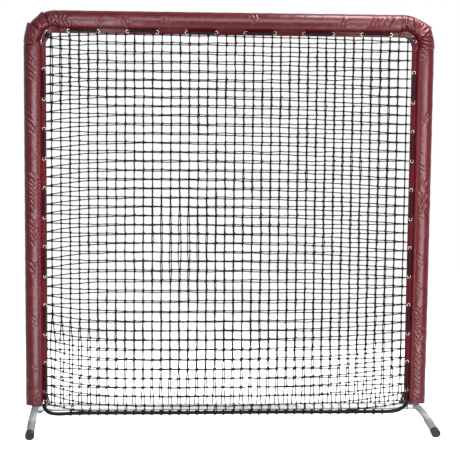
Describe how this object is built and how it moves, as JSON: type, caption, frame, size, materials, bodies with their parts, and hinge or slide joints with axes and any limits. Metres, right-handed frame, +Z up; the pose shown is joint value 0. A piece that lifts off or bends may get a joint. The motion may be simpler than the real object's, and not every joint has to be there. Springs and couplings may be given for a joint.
{
  "type": "pitching target net",
  "caption": "Square standing ball-stop screen: a knotted double net laced into round padded covers on a bent tube frame with arched legs and slip-on rubber-capped feet.",
  "frame": {"origin": "on the floor, midway between the four feet", "axes": "+Z up, +X to the right as seen from the front, and the front faces -Y"},
  "size_m": [2.134, 0.719, 2.1566],
  "materials": {
    "galvanised_tube": "satin",
    "pad_foam": "matte",
    "maroon_vinyl": "gloss",
    "nickel_eyelet": "polished",
    "black_cord": "matte",
    "black_net": "matte",
    "black_rubber": "matte"
  },
  "bodies": {
    "frame": {"top_rail": "galvanised_tube", "bottom_rail": "galvanised_tube", "left_upright": "galvanised_tube", "left_leg_arch": "galvanised_tube", "right_upright": "galvanised_tube", "right_leg_arch": "galvanised_tube", "top_foam": "pad_foam", "left_foam": "pad_foam", "left_corner_foam": "pad_foam", "right_foam": "pad_foam", "right_corner_foam": "pad_foam", "top_cover": "maroon_vinyl", "left_cover": "maroon_vinyl", "left_corner_cover": "maroon_vinyl", "right_cover": "maroon_vinyl", "right_corner_cover": "maroon_vinyl", "top_grommets": "nickel_eyelet", "left_grommets": "nickel_eyelet", "left_corner_grommets": "nickel_eyelet", "right_grommets": "nickel_eyelet", "right_corner_grommets": "nickel_eyelet", "top_lace": "black_cord", "border_rope": "black_cord", "rail_lashings": "black_cord", "left_lace": "black_cord", "left_corner_tie": "black_cord", "left_end_tie": "black_cord", "right_lace": "black_cord", "right_corner_tie": "black_cord", "right_end_tie": "black_cord", "front_net": "black_net", "back_net": "black_net"},
    "front_left_foot": {"front_left_foot_tube": "galvanised_tube", "front_left_foot_cap": "black_rubber"},
    "rear_left_foot": {"rear_left_foot_tube": "galvanised_tube", "rear_left_foot_cap": "black_rubber"},
    "front_right_foot": {"front_right_foot_tube": "galvanised_tube", "front_right_foot_cap": "black_rubber"},
    "rear_right_foot": {"rear_right_foot_tube": "galvanised_tube", "rear_right_foot_cap": "black_rubber"}
  },
  "joints": [
    {"name": "front_left_foot_pull_off", "type": "slide", "parent": "frame", "child": "front_left_foot", "axis": [0, -0.9583, -0.2857], "range_m": [0, 0.15]},
    {"name": "front_right_foot_pull_off", "type": "slide", "parent": "frame", "child": "front_right_foot", "axis": [0, -0.9583, -0.2857], "range_m": [0, 0.15]},
    {"name": "rear_left_foot_pull_off", "type": "slide", "parent": "frame", "child": "rear_left_foot", "axis": [0, 0.9583, -0.2857], "range_m": [0, 0.15]},
    {"name": "rear_right_foot_pull_off", "type": "slide", "parent": "frame", "child": "rear_right_foot", "axis": [0, 0.9583, -0.2857], "range_m": [0, 0.15]}
  ]
}
